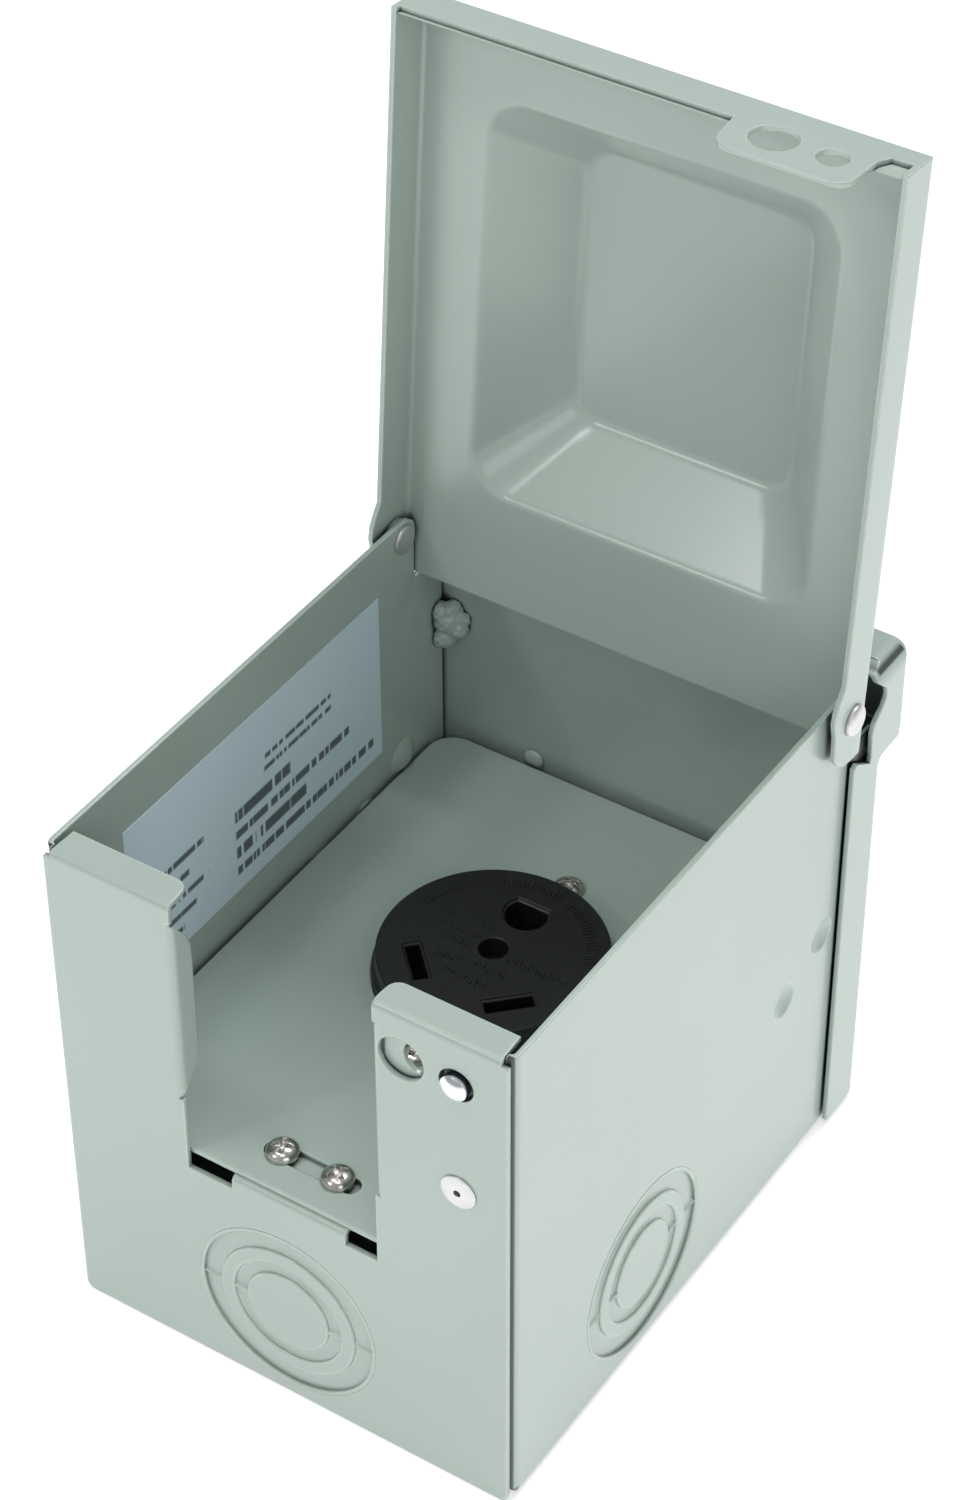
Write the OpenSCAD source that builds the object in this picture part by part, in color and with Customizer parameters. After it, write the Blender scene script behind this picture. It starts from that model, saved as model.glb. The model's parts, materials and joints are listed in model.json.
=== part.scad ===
// Outdoor power outlet box of folded sheet metal, lying on its back plate with its lid open.
// X runs across the cord-notch end, Y from that end to the hinged hood end,
// Z from the back plate to the lid. The notch end panel's outer face is at y = 0.

/* [Sheet] */
// Sheet metal thickness of every folded panel
sheet = 1.2; // [1.0:0.1:1.4]
// Outside bend radius of the wrap
wrap_bend = 2.2; // [1.8:0.1:2.6]
// Outside bend radius of the notch end panel
panel_bend = 1.8; // [1.7:0.1:2.2]

/* [Enclosure] */
// Width over the outer faces of the side walls
body_width = 119.8; // [119.4:0.1:120.2]
// Width of the notch end panel
front_width = 118.2; // [117:0.1:118.8]
// Height of the notch end panel above the back plane
front_height = 139.6; // [138.6:0.1:140]
// Height of the side walls above the back plane
wall_height = 139.7; // [139.2:0.1:139.8]
// Height of the side walls behind the hinge ears
wall_rear_height = 120.5; // [118:0.5:121.5]
// Outer face of the hood web, measured from the notch end
web_y = 154.8; // [154.4:0.1:156]
// Outer face of the rain hood, measured from the notch end
hood_y = 165; // [162:0.5:168]
// Top of the rain hood
hood_top = 137.4; // [136:0.2:139]

/* [Cord notch] */
// Half width of the cord notch
notch_half = 25.5; // [24.5:0.1:25.8]
// Bottom of the relief slots beside the screw lip
notch_floor = 60.4; // [56:0.2:61.4]

/* [Knockouts] */
// Height of the knockout centres above the back plane
knockout_z = 27.5; // [26:0.5:32]
// Distance of the side knockouts from the notch end
knockout_y = 56.2; // [50:0.2:62]
// Depth of the recessed knockout rings
knockout_recess = 0.6; // [0.3:0.1:0.8]

/* [Receptacle deck] */
// Top face of the receptacle deck above the back plane
deck_top = 65.6; // [65.5:0.1:66]
// Distance of the receptacle centre from the notch end
outlet_y = 85.4; // [82:0.2:88]
// Height of the receptacle face above the deck
outlet_proud = 7.1; // [6:0.1:8.5]

/* [Lid] */
// Half width of the lid over its side flanges
lid_half = 62.7; // [62.7:0.1:63.2]
// Distance of the hinge axis from the notch end
hinge_y = 136.7; // [136.5:0.1:136.9]
// Height of the hinge axis above the back plane
hinge_z = 134.8; // [134.7:0.1:134.9]
// Angle the lid stands open
lid_open = 94.6; // [0:0.2:94.6]
// Depth of the embossed pan in the lid
pan_depth = 20; // [10:0.5:24]

/* [Latch] */
// Height of the latch button and of the padlock hole
latch_z = 126.8; // [126.2:0.1:127.2]
// Distance of the latch button from the middle
latch_x = 46.6; // [46:0.1:47.2]
// Distance of the padlock hole from the middle
padlock_x = 32.9; // [32.4:0.1:33.4]

/* [Hidden] */
$fn = 64;
half_width = body_width / 2;
inner_half = half_width - sheet;
panel_half = front_width / 2;
wrap_y = 1.55; // outer face of the wrap's edges behind the end panel
wrap_start = wrap_y + wrap_bend;
wrap_inner = wrap_bend - sheet;
panel_inner = panel_bend - sheet;
wall_end = 152.5;
web_inner_y = web_y - sheet;
hood_floor = 112.3;
web_rivet_x = 32.2;
web_rivet_z = 66.4;
// Centres of the dimples in each side wall: y, z
wall_dimples = [[134.5, 68.6], [117.6, 60.9]];
dimple_out = 5.8; // sphere centre beyond the wall
// Outer radii of the knockout pieces, from outside in
knockout_radii = [23.2, 18.4, 14.7, 11.2];
knockout_gap = 0.05;
knockout_hole = knockout_radii[0] + knockout_gap;

deck_bottom = deck_top - 1.2;
deck_screw_x = 7.5;
deck_screw_y = 11.2;
lip_left = -13.5;
lip_right = 17;

// Receptacle: x and y are measured from its centre
face_top = deck_top + outlet_proud;
mount_pitch = 33; // centre to mounting screw
blade_x = 12.8;
blade_y = -13;
ground_y = 14.2;
terminal_z = 34.5;
centre_bore = 9; // depth of the centre screw's counterbore

// Lid in its closed place
lid_under = 140.2;
lid_top = lid_under + sheet;
lid_start = -2;
lid_end = hinge_y + 12;
lid_inner_half = lid_half - sheet;

latch_rivet_x = 47;
latch_rivet_z = 95.3;
lug_x = -22;
lug_y = 116;

// Extrusions along an axis; the outline lies in the other two, in alphabetical order
module extrude_x(x0, x1) {
  translate([x0, 0, 0]) rotate([90, 0, 90]) linear_extrude(x1 - x0) children();
}
module extrude_y(y0, y1) {
  translate([0, y1, 0]) rotate([90, 0, 0]) linear_extrude(y1 - y0) children();
}
module extrude_z(z0, z1) { translate([0, 0, z0]) linear_extrude(z1 - z0) children(); }

// Box between two corners, and cylinders along each axis
module box(low, high) { translate(low) cube(high - low); }
module rod_x(x0, x1, r, y, z) {
  translate([x0, y, z]) rotate([0, 90, 0]) cylinder(h = x1 - x0, r = r);
}
module rod_y(y0, y1, r, x, z) {
  translate([x, y1, z]) rotate([90, 0, 0]) cylinder(h = y1 - y0, r = r);
}
module rod_z(z0, z1, r, x = 0, y = 0) { translate([x, y, z0]) cylinder(h = z1 - z0, r = r); }

module both() {
  children();
  mirror([1, 0, 0]) children();
}
module at_outlet(x = 0, y = 0, z = 0) { translate([x, outlet_y + y, z]) children(); }

// One quadrant of a ring, for a folded corner
module bend(inner, outer, x_side, y_side) {
  intersection() {
    difference() {
      circle(outer);
      circle(inner);
    }
    translate([x_side > 0 ? 0 : -outer - 1, y_side > 0 ? 0 : -outer - 1]) square(outer + 1);
  }
}

function arc(x, y, r, from, to, n = 8) =
  [for (i = [0:n]) let (a = from + (to - from) * i / n) [x + r * cos(a), y + r * sin(a)]];
function rounded_rect(half_x, half_y, r, n = 8) = concat(
  arc(half_x - r, half_y - r, r, 0, 90, n), arc(-half_x + r, half_y - r, r, 90, 180, n),
  arc(-half_x + r, -half_y + r, r, 180, 270, n), arc(half_x - r, -half_y + r, r, 270, 360, n));

// Low domed head on z = 0 with a shank below, both turned from one outline
module rivet(head_r, head_h, rim, shank_r, shank_h, bore = 0) {
  rotate_extrude() polygon(concat(
    [[bore, -shank_h], [shank_r, -shank_h], [shank_r, 0], [head_r, 0], [head_r, rim]],
    [for (i = [1:6]) [head_r * cos(i * 13), rim + (head_h - rim) * sin(i * 15)]],
    [[bore, head_h]]));
}

// Pan screw, crosshead or slotted, head underside at z = 0, shank going down
module pan_screw(head_r, head_h, shank_r, shank_h, slotted = false) {
  dome_r = (head_r * head_r + head_h * head_h * 0.5) / head_h;
  slot_half = head_r * (slotted ? 1.1 : 0.55);
  difference() {
    union() {
      rod_z(-shank_h, 0.1, shank_r);
      intersection() {
        cylinder(h = head_h + 1, r = head_r);
        translate([0, 0, head_h - dome_r]) sphere(r = dome_r);
      }
    }
    for (a = slotted ? [0] : [0, 90]) rotate([0, 0, a + 20])
      box([-slot_half, -0.42, head_h - 1.1], [slot_half, 0.42, head_h + 1]);
  }
}

// Back plate and both side walls, folded from one sheet
module shell_wrap() color([0.72, 0.77, 0.74]) {
  bend_x = half_width - wrap_bend;
  edge_bottom = 3;
  edge_top = front_height - 1.8;
  ear_end = hinge_y + 4.2;
  difference() {
    union() {
      box([-bend_x, wrap_y, 0], [bend_x, wall_end, sheet]);
      both() {
        extrude_y(wrap_start, wall_end)
          translate([bend_x, wrap_bend]) bend(wrap_inner, wrap_bend, 1, -1);
        // side wall with its hinge ear
        extrude_x(inner_half, half_width) {
          polygon([[wrap_start, wrap_bend], [wall_end, wrap_bend],
            [wall_end, wall_rear_height], [ear_end, wall_rear_height], [ear_end, hinge_z],
            [hinge_y, hinge_z], [hinge_y, wall_height], [wrap_start, wall_height]]);
          translate([hinge_y, hinge_z]) circle(5);
        }
        // wall edge folded in behind the notch end panel
        extrude_z(edge_bottom, wall_height)
          translate([bend_x, wrap_start]) bend(wrap_inner, wrap_bend, 1, -1);
        box([46.4, wrap_y, edge_bottom], [bend_x, wrap_y + sheet, edge_top]);
        // boss that spaces the lid flange off the wall
        rod_x(half_width - 0.3, half_width + 1.5, 4.6, hinge_y, hinge_z);
        // dimples pressed into the wall
        for (p = wall_dimples) intersection() {
          translate([half_width + dimple_out, p[0], p[1]]) sphere(r = 8.6);
          box([half_width - 4, p[0] - 5.5, p[1] - 5.5],
            [half_width - 0.5, p[0] + 5.5, p[1] + 5.5]);
        }
      }
      // wide flange behind the latch leg
      box([27.9, wrap_y, 82], [47, wrap_y + sheet, edge_top]);
    }
    both() {
      rod_x(inner_half - 1, half_width + 3, 2.25, hinge_y, hinge_z);
      for (p = wall_dimples)
        translate([half_width + dimple_out, p[0], p[1]]) sphere(r = 7.4);
      rod_x(inner_half - 1, half_width + 1, knockout_hole, knockout_y, knockout_z);
      // mounting holes in the back plate
      for (y = [22, 132]) rod_z(-1, 3, 3.2, 38, y);
    }
    // padlock, latch button and latch rivet holes: radius, x, z
    for (h = [[4.6, padlock_x + 4.2, latch_z + 0.7], [3.33, latch_x, latch_z],
        [2.1, latch_rivet_x, latch_rivet_z]])
      rod_y(wrap_y - 1, wrap_y + sheet + 1, h[0], h[1], h[2]);
    rod_z(-1, 3, 1.95, lug_x, lug_y);
  }
}

// End panel with the cord notch, its folded edges and the screw lip
module notch_end_panel() color([0.74, 0.79, 0.76]) {
  fold_z = front_height - panel_bend;
  fold_x = notch_half + panel_bend;
  flange_start = notch_half + 0.4;
  flange_end = 57.5;
  side_low = 81.5;
  side_high = 134;
  lip_top = deck_bottom - 0.1;
  // Right side of the outline from the top down to the notch floor: x, z
  leg = [[panel_half, fold_z], [flange_start, fold_z], [flange_start, side_high],
    [fold_x, side_high], [fold_x, side_low], [notch_half, side_low],
    [notch_half, notch_floor]];
  // Edge of the notch side flanges: y, z
  side_flange = [[-1, 81], [0, 81.5], [3.6, 86.2], [5.4, 88.6], [6.3, 91.5], [6.5, 118.2],
    [6.4, 124.1], [4.3, 128.8], [0, 134], [-1, 134.5]];
  difference() {
    union() {
      extrude_y(0, sheet) polygon(concat(
        arc(-panel_half + 2, 2.3, 2, 180, 270, 4), arc(panel_half - 2, 2.3, 2, 270, 360, 4),
        leg,
        [[lip_right, notch_floor], [lip_right, 62.5], [lip_left, 62.5],
          [lip_left, notch_floor]],
        [for (i = [len(leg) - 1:-1:0]) [-leg[i][0], leg[i][1]]]));
      // top flanges of both legs
      both() intersection() {
        extrude_x(flange_start, flange_end) {
          translate([panel_bend, fold_z]) bend(panel_inner, panel_bend, -1, 1);
          translate([panel_bend, fold_z + panel_inner]) square([8.2 - panel_bend, sheet]);
        }
        extrude_z(fold_z - 1, front_height + 1) polygon(concat(
          [[notch_half, -1], [flange_end, -1], [57, 8.2]],
          arc(notch_half + 3.6, 5.2, 3, 90, 180, 6)));
      }
      // notch side flanges
      both() intersection() {
        extrude_z(side_low, side_high) {
          translate([fold_x, panel_bend]) bend(panel_inner, panel_bend, -1, -1);
          translate([notch_half, panel_bend]) square([sheet, 6.5 - panel_bend]);
        }
        extrude_x(notch_half - 1, fold_x + 1) polygon(side_flange);
      }
      // lip under the deck
      extrude_x(lip_left, lip_right) {
        translate([panel_bend, lip_top - panel_bend]) bend(panel_inner, panel_bend, -1, 1);
        translate([panel_bend, lip_top - sheet]) square([18 - panel_bend, sheet]);
      }
      box([lip_left, 0, 61], [lip_right, sheet, lip_top - panel_bend]);
    }
    for (x = [-deck_screw_x, deck_screw_x]) rod_z(60, 66, 2.05, x, deck_screw_y);
    // padlock, latch button, latch rivet and knockout holes: radius, x, z
    for (h = [[5.75, padlock_x, latch_z], [4.3, latch_x, latch_z],
        [2.1, latch_rivet_x, latch_rivet_z], [knockout_hole, 0, knockout_z]])
      rod_y(-1, 3, h[0], h[1], h[2]);
  }
}

// Plate outline from low to high with both upper corners rounded
module round_end(half, low, high, r) {
  translate([-half, low]) square([2 * half, high - r - low]);
  translate([-(half - r), low]) square([2 * (half - r), high - low]);
  for (s = [-1, 1]) translate([s * (half - r), high - r]) circle(r);
}

// End cap: lower web with side strips, stepped back into a rain hood
// whose cheeks roll over into a top flange
module rain_hood_cap() color([0.78, 0.82, 0.80]) {
  cheek = 61.75;
  cheek_inner = cheek - sheet;
  fold = 2;
  fold_inner = fold - sheet;
  fold_x = cheek - fold;
  hood_fold_y = hood_y - fold;
  strip_bottom = 1.5;
  roll = 4.8;
  roll_z = hood_top - roll;
  // Free edge of the cheeks from the hood down to the strip: y, z
  cheek_edge = [[153, roll_z], [154.6, 131.3], [155, 128.9], [153.6, 126.4], [150, 123.4],
    [149.2, 120.8], [149.6, 114], [149, 112.4], [142.6, 116.6], [141.2, 116]];
  difference() {
    union() {
      // web, step and hood face between the corner folds
      extrude_x(-fold_x, fold_x) {
        translate([web_inner_y, strip_bottom])
          square([sheet, hood_floor - fold - strip_bottom]);
        translate([web_y + fold_inner, hood_floor - fold]) bend(fold_inner, fold, -1, 1);
        translate([web_y + fold_inner, hood_floor - sheet])
          square([hood_fold_y - web_y - fold_inner, sheet]);
        translate([hood_fold_y, hood_floor + fold_inner]) bend(fold_inner, fold, 1, -1);
        translate([hood_y - sheet, hood_floor + fold_inner])
          square([sheet, roll_z - hood_floor - fold_inner]);
      }
      // corner folds and cheeks
      both() {
        extrude_z(strip_bottom, hood_floor - fold)
          translate([fold_x, web_y - fold]) bend(fold_inner, fold, 1, 1);
        extrude_z(hood_floor + fold_inner, roll_z)
          translate([fold_x, hood_fold_y]) bend(fold_inner, fold, 1, 1);
        box([fold_x, web_y - 0.2, hood_floor - sheet],
          [cheek_inner + 0.1, hood_fold_y, hood_floor]);
        extrude_x(cheek_inner, cheek) polygon(concat(
          [[141.2, strip_bottom], [web_y - fold, strip_bottom],
            [web_y - fold, hood_floor - 3.2], [web_y, hood_floor - sheet],
            [hood_fold_y, hood_floor - sheet], [hood_fold_y, roll_z]],
          cheek_edge));
      }
      // rolled top of the hood
      intersection() {
        difference() {
          intersection() {
            extrude_z(roll_z - 0.05, hood_top) round_end(cheek, 120, hood_y, fold);
            extrude_y(130, 170) round_end(cheek, 100, hood_top, roll);
          }
          intersection() {
            extrude_z(120, hood_top - sheet)
              round_end(cheek_inner, 110, hood_y - sheet, fold_inner);
            extrude_y(110, 168) round_end(cheek_inner, 90, hood_top - sheet, roll - sheet);
          }
        }
        extrude_x(-70, 70) polygon([[153, roll_z - 0.05], [170, roll_z - 0.05], [170, 140],
          [155.5, 140], [155.5, 137], [151.2, 136.3], [150.9, 134.6]]);
      }
    }
    for (s = [-1, 1])
      rod_y(web_inner_y - 1, web_inner_y + 3, 1.65, s * web_rivet_x, web_rivet_z);
  }
}

// One knockout piece in the XY plane, body below z = 0; recessed rings have two ties
module knockout_ring(index, recessed = false) {
  outer = knockout_radii[index];
  inner = index < 3 ? knockout_radii[index + 1] + knockout_gap : 0;
  drop = recessed ? knockout_recess : 0;
  difference() {
    union() {
      rod_z(-drop - sheet, -drop, outer);
      if (recessed) for (a = [0, 180])
        rotate([0, 0, a]) box([inner, -0.4, -drop - 0.1], [outer, 0.4, -0.05]);
    }
    if (inner > 0) rod_z(-drop - sheet - 1, 1, inner);
  }
}

// Places on the notch end and on both side walls, z pointing out of the box
module at_knockouts() {
  translate([0, 0, knockout_z]) rotate([90, 0, 0]) children();
  for (s = [1, -1])
    translate([s * half_width, knockout_y, knockout_z]) rotate([90, 0, s * 90]) children();
}
module knockout_outer_rings() color([0.72, 0.77, 0.74]) at_knockouts() knockout_ring(0, true);
module knockout_middle_rings() color([0.73, 0.78, 0.75]) at_knockouts() knockout_ring(1);
module knockout_inner_rings() color([0.72, 0.77, 0.74]) at_knockouts() knockout_ring(2, true);
module knockout_slugs() color([0.73, 0.78, 0.75]) at_knockouts() knockout_ring(3);

// Weld beads in the two corners between side walls and hood web
module corner_welds() color([0.70, 0.75, 0.72]) both() intersection() {
  union() {
    translate([57.2, 151.2, 97]) sphere(r = 4.2);
    translate([56.6, 151.8, 102.5]) sphere(r = 4.6);
    translate([54.6, 152.4, 99.5]) sphere(r = 3.4);
  }
  box([45, 144, 85], [inner_half - 0.03, web_inner_y - 0.03, 112]);
}

// Deck that carries the receptacle
module receptacle_deck() color([0.66, 0.71, 0.68]) {
  half = 57.5;
  start = 2.95;
  end = 151.2;
  corner = 7;
  tab_half = 46.2;
  tab_start = 1.35;
  difference() {
    extrude_z(deck_bottom, deck_top) polygon(concat(
      [[-tab_half, tab_start], [tab_half, tab_start], [tab_half, start], [half, start]],
      arc(half - corner, end - corner, corner, 0, 90),
      arc(-half + corner, end - corner, corner, 90, 180),
      [[-half, start], [-tab_half, start]]));
    extrude_z(60, 70) translate([0.6, deck_screw_y]) polygon(rounded_rect(12.7, 2.5, 2.4));
    rod_z(60, 70, 28.8, 0, outlet_y);
    for (s = [-1, 1]) rod_z(60, 70, 2.1, 0, outlet_y + s * mount_pitch);
  }
}

module deck_screws() color([0.8, 0.79, 0.76]) for (x = [-deck_screw_x, deck_screw_x])
  translate([x, deck_screw_y, deck_top]) pan_screw(3.85, 2.5, 2.0, 9);

// Blind rivets through the hood web, headed inside
module hood_rivets() color([0.75, 0.78, 0.77]) for (s = [-1, 1])
  translate([s * web_rivet_x, web_inner_y - 0.02, web_rivet_z]) rotate([90, 0, 0]) {
    rivet(2.8, 1.5, 0.3, 1.6, 1.4);
    rod_z(-2.9, -1.3, 2.4);
  }

// Openings in the receptacle face, two angled blade slots and a grounding hole
module face_openings(grow = 0) {
  for (s = [-1, 1]) translate([s * blade_x, blade_y]) rotate(s * 45)
    square([11.6 + grow, 3.4 + grow], center = true);
  intersection() {
    translate([0, ground_y]) circle(5.1 + grow / 2);
    translate([-8, 6]) square([16, 11.3 + grow / 2]);
  }
}

// Black face of the receptacle
module receptacle_face() color([0.08, 0.08, 0.08]) at_outlet() difference() {
  rotate_extrude() polygon(concat(
    [[0, 58.2], [25.8, 58.2], [25.8, 62.7], [27, 62.7], [27, 64.45], [28.6, 64.45],
      [28.6, 67.4], [27.6, 68.4]],
    arc(26.8, face_top - 0.8, 0.8, 0, 90, 5), [[0, face_top]]));
  extrude_z(50, face_top + 1) face_openings();
  extrude_z(face_top - 0.6, face_top + 1) face_openings(1.3);
  extrude_z(face_top - centre_bore, face_top + 1) circle(3.5);
  extrude_z(50, face_top) circle(1.7);
}

// Rear housing of the receptacle, with contact chambers open towards the face
module receptacle_body() color([0.1, 0.1, 0.11]) at_outlet() difference() {
  rotate_extrude() polygon([[0, 34], [22.5, 34], [24, 35.5], [24, 58.1], [0, 58.1]]);
  for (s = [-1, 1]) translate([s * blade_x, blade_y, 0]) {
    rotate([0, 0, s * 45]) box([-6.6, -3, 40], [6.6, 3, 60]);
    box([-4.8, -14, 33], [4.8, 4, 40.1]);
  }
  box([-5.2, 8.4, 40], [5.2, 19, 60]);
  box([-4.8, 9, 33], [4.8, 28, 40.1]);
  extrude_z(33, 60) circle(1.35);
}

// Steel yoke under the deck that clamps the receptacle
module receptacle_strap() color([0.78, 0.78, 0.76]) at_outlet() difference() {
  extrude_z(62.85, deck_bottom - 0.05) {
    circle(31.5);
    polygon(rounded_rect(8, 38, 3));
  }
  extrude_z(60, 66) circle(27.05);
  for (s = [-1, 1]) rod_z(60, 70, 1.75, 0, s * mount_pitch);
}

module receptacle_mounting_screws() color([0.8, 0.79, 0.76]) for (s = [-1, 1])
  at_outlet(0, s * mount_pitch, deck_top) pan_screw(3.8, 2.4, 1.7, 8);
module receptacle_centre_screw() color([0.75, 0.75, 0.72])
  at_outlet(z = face_top - centre_bore) pan_screw(2.8, 1.8, 1.3, 24);

// Spring jaw, open towards the face
module jaw() {
  box([-5.6, -2.2, 42.2], [5.6, 2.2, 43]);
  for (y = [-2.2, 1.2]) box([-5.6, y, 42.2], [5.6, y + 1, 57.6]);
}

// Jaw on a clamp block with a screw hole and a wire slot towards +X
module line_contact() color([0.85, 0.7, 0.35]) at_outlet(blade_x, blade_y) difference() {
  union() {
    rotate([0, 0, 45]) jaw();
    rotate([0, 0, 45]) box([-3, -2, 39.5], [3, 2, 42.4]);
    box([-4, -3, 34.6], [4, 3.4, 39.9]);
  }
  rod_z(34, 39.2, 2.05);
  box([-5, -2.1, 37], [5, 0.9, 40]);
}
module neutral_contact() color([0.86, 0.84, 0.78]) mirror([1, 0, 0]) line_contact();

// Split cup on a clamp block
module ground_contact() color([0.85, 0.7, 0.35]) at_outlet() difference() {
  union() {
    difference() {
      rod_z(42.2, 57.6, 4.6, 0, 14);
      rod_z(43, 59, 3.6, 0, 14);
      box([-0.7, 8, 43], [0.7, 20, 60]);
    }
    box([-4, 11, 34.6], [4, 17.4, 39.9]);
    box([-3, 12, 39.5], [3, 16.6, 42.4]);
  }
  rod_z(34, 39.2, 2.05, 0, ground_y);
  box([-5, 12.7, 37], [5, 15.7, 40]);
}

// Slotted clamp screw, head towards the back plate
module clamp_screw(x, y) {
  at_outlet(x, y, terminal_z) rotate([180, 0, 0]) pan_screw(3.1, 2.0, 1.95, 4.6, true);
}
module line_terminal_screw() color([0.83, 0.68, 0.34]) clamp_screw(blade_x, blade_y);
module neutral_terminal_screw() color([0.84, 0.83, 0.8]) clamp_screw(-blade_x, blade_y);
module ground_terminal_screw() color([0.2, 0.5, 0.3]) clamp_screw(0, ground_y);

// Rivets on the hinge axis, headed outside the lid and inside the wall
module hinge_rivets() color([0.88, 0.88, 0.86]) both() {
  translate([lid_half + 0.08, hinge_y, hinge_z]) rotate([0, 90, 0])
    rivet(3.9, 1.7, 0.4, 2.2, lid_half - inner_half + 0.3);
  translate([inner_half - 0.06, hinge_y, hinge_z]) rotate([0, -90, 0])
    rivet(3.8, 1.3, 0.4, 2.2, 0.01);
}

// Tapered pan raised from the lid: hollow at grow = 0, outside at grow = sheet
module pan_layer(z, half_x, half_y, corner, grow) {
  translate([0, 68.4, z]) linear_extrude(0.01)
    polygon(rounded_rect(half_x + grow, half_y + grow, corner + grow, 7));
}
module pan_solid(grow) {
  hull() {
    pan_layer(lid_under - (grow > 0 ? 0 : 1.2), 44.25, 50.5, 12, grow);
    pan_layer(lid_top + pan_depth - (grow > 0 ? 0.01 : sheet), 28.75, 35, 7, grow);
  }
}

// Solid with rounded top edges on both sides and at the notch end
module lid_block(half, start, top, r) {
  low = 100;
  intersection() {
    extrude_y(start, lid_end + 2) {
      translate([-half, low]) square([2 * half, top - r - low]);
      translate([-half + r, top - r - 1]) square([2 * (half - r), r + 1]);
      for (s = [-1, 1]) translate([s * (half - r), top - r]) circle(r);
    }
    extrude_x(-half, half) {
      translate([start, low]) square([lid_end + 3 - start, top - r - low]);
      translate([start + r, top - r - 1]) square([lid_end + 3 - start - r, r + 1]);
      translate([start + r, top - r]) circle(r);
    }
  }
}

module lid_closed() {
  flange_z = lid_top - 12.5;
  inner_y = lid_start + sheet;
  seam_y = inner_y - 0.05;
  // Lower edge of the hinge tails: y from the hinge axis, depth below the lid top
  hinge_tail = [[-12, 12.5], [-9.3, 14.2], [-6.4, 15.5], [-3.5, 15.8], [0.6, 14.6],
    [7.6, 13.8], [10.2, 11.6], [11.7, 9], [12, 6], [12, -1]];
  difference() {
    intersection() {
      difference() {
        lid_block(lid_half, lid_start, lid_top, 2.2);
        lid_block(lid_inner_half, inner_y, lid_under, 1.0);
      }
      // side flanges with the hinge tails
      extrude_x(-lid_half - 1, lid_half + 1) polygon(concat(
        [[lid_start - 1, lid_top - 26], [seam_y, lid_top - 26], [seam_y, flange_z]],
        [for (p = hinge_tail) [hinge_y + p[0], lid_top - p[1]]],
        [[lid_start - 1, lid_top + 1]]));
      // notch-end flange with the latch tab
      union() {
        box([-70, seam_y, 100], [70, lid_end + 1, 150]);
        extrude_y(lid_start - 1, inner_y + 0.5) polygon(concat(
          [[-lid_half, lid_top + 1], [-lid_half, flange_z], [-61.4, flange_z],
            [-61.2, lid_top - 11.2], [21.4, lid_top - 11.2]],
          arc(27.6, lid_top - 19, 5, 180, 270, 6), [[50.5, lid_top - 24]],
          arc(50.5, lid_top - 20, 4, 270, 360, 5),
          [[54.7, lid_top - 10.6], [56.3, lid_top - 7.4], [61.2, lid_top - 7.2],
            [61.4, flange_z], [lid_half, flange_z], [lid_half, lid_top + 1]]));
      }
    }
    pan_solid(0);
    both() rod_x(lid_inner_half - 1, lid_half + 1, 2.28, hinge_y, hinge_z);
    rod_y(lid_start - 1, inner_y + 1, 5.5, padlock_x, latch_z);
    rod_y(lid_start - 1, inner_y + 1, 3.6, latch_x, latch_z);
  }
  difference() {
    pan_solid(sheet);
    pan_solid(0);
    box([-60, 0, 130], [60, 150, lid_under]);
  }
}

// Lid swung open about the hinge axis
module lid() color([0.70, 0.76, 0.73])
  translate([0, hinge_y, hinge_z]) rotate([-lid_open, 0, 0])
    translate([0, -hinge_y, -hinge_z]) lid_closed();

// Spring-loaded latch button, pressed inwards along Y
module latch_button() color([0.82, 0.84, 0.85]) {
  button_r = 3.25;
  rod_y(-1.3, 2.95, button_r, latch_x, latch_z);
  // domed end
  intersection() {
    rod_y(-2.8, -1.2, button_r, latch_x, latch_z);
    translate([latch_x, 2.45, latch_z]) sphere(r = 4.95);
  }
  // collar, stem and stem head: y from, y to, radius
  for (p = [[2.85, 3.25, 4.6], [3.15, 4.55, 1.5], [3.9, 4.65, 2.3]])
    rod_y(p[0], p[1], p[2], latch_x, latch_z);
}

// Leaf spring behind the latch leg: side profile (y, z) cut to the face outline (x, z)
module latch_spring() color([0.8, 0.8, 0.78]) difference() {
  intersection() {
    extrude_x(30, 60) polygon([[2.8, 88], [3.3, 88], [3.3, 103], [3.8, 116], [3.8, 136],
      [3.3, 136], [3.3, 116], [2.8, 103]]);
    extrude_y(2, 5) polygon([[41.5, 88], [52.5, 88], [53.5, 112], [55.5, 118],
      [55.5, 134.5], [36.5, 134.5], [36.5, 118], [40.5, 112]]);
  }
  rod_y(2, 5, 1.55, latch_x, latch_z);
  rod_y(2, 5, 2.1, latch_rivet_x, latch_rivet_z);
}

// Flat-headed blind rivet that holds the leaf spring
module latch_rivet() color([0.85, 0.85, 0.84]) {
  translate([latch_rivet_x, -0.03, latch_rivet_z]) rotate([90, 0, 0])
    rivet(4.4, 0.75, 0.3, 2.05, 3.45, bore = 0.9);
  rod_y(3.35, 4.85, 3, latch_rivet_x, latch_rivet_z);
}

// Blank rating label on the inside of the -X wall
module rating_label() color([0.66, 0.74, 0.76]) extrude_x(-inner_half, -inner_half + 0.15)
  polygon([[26, 76.5], [125.5, 76.5], [125.5, 124.5], [26, 124.5]]);

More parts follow.
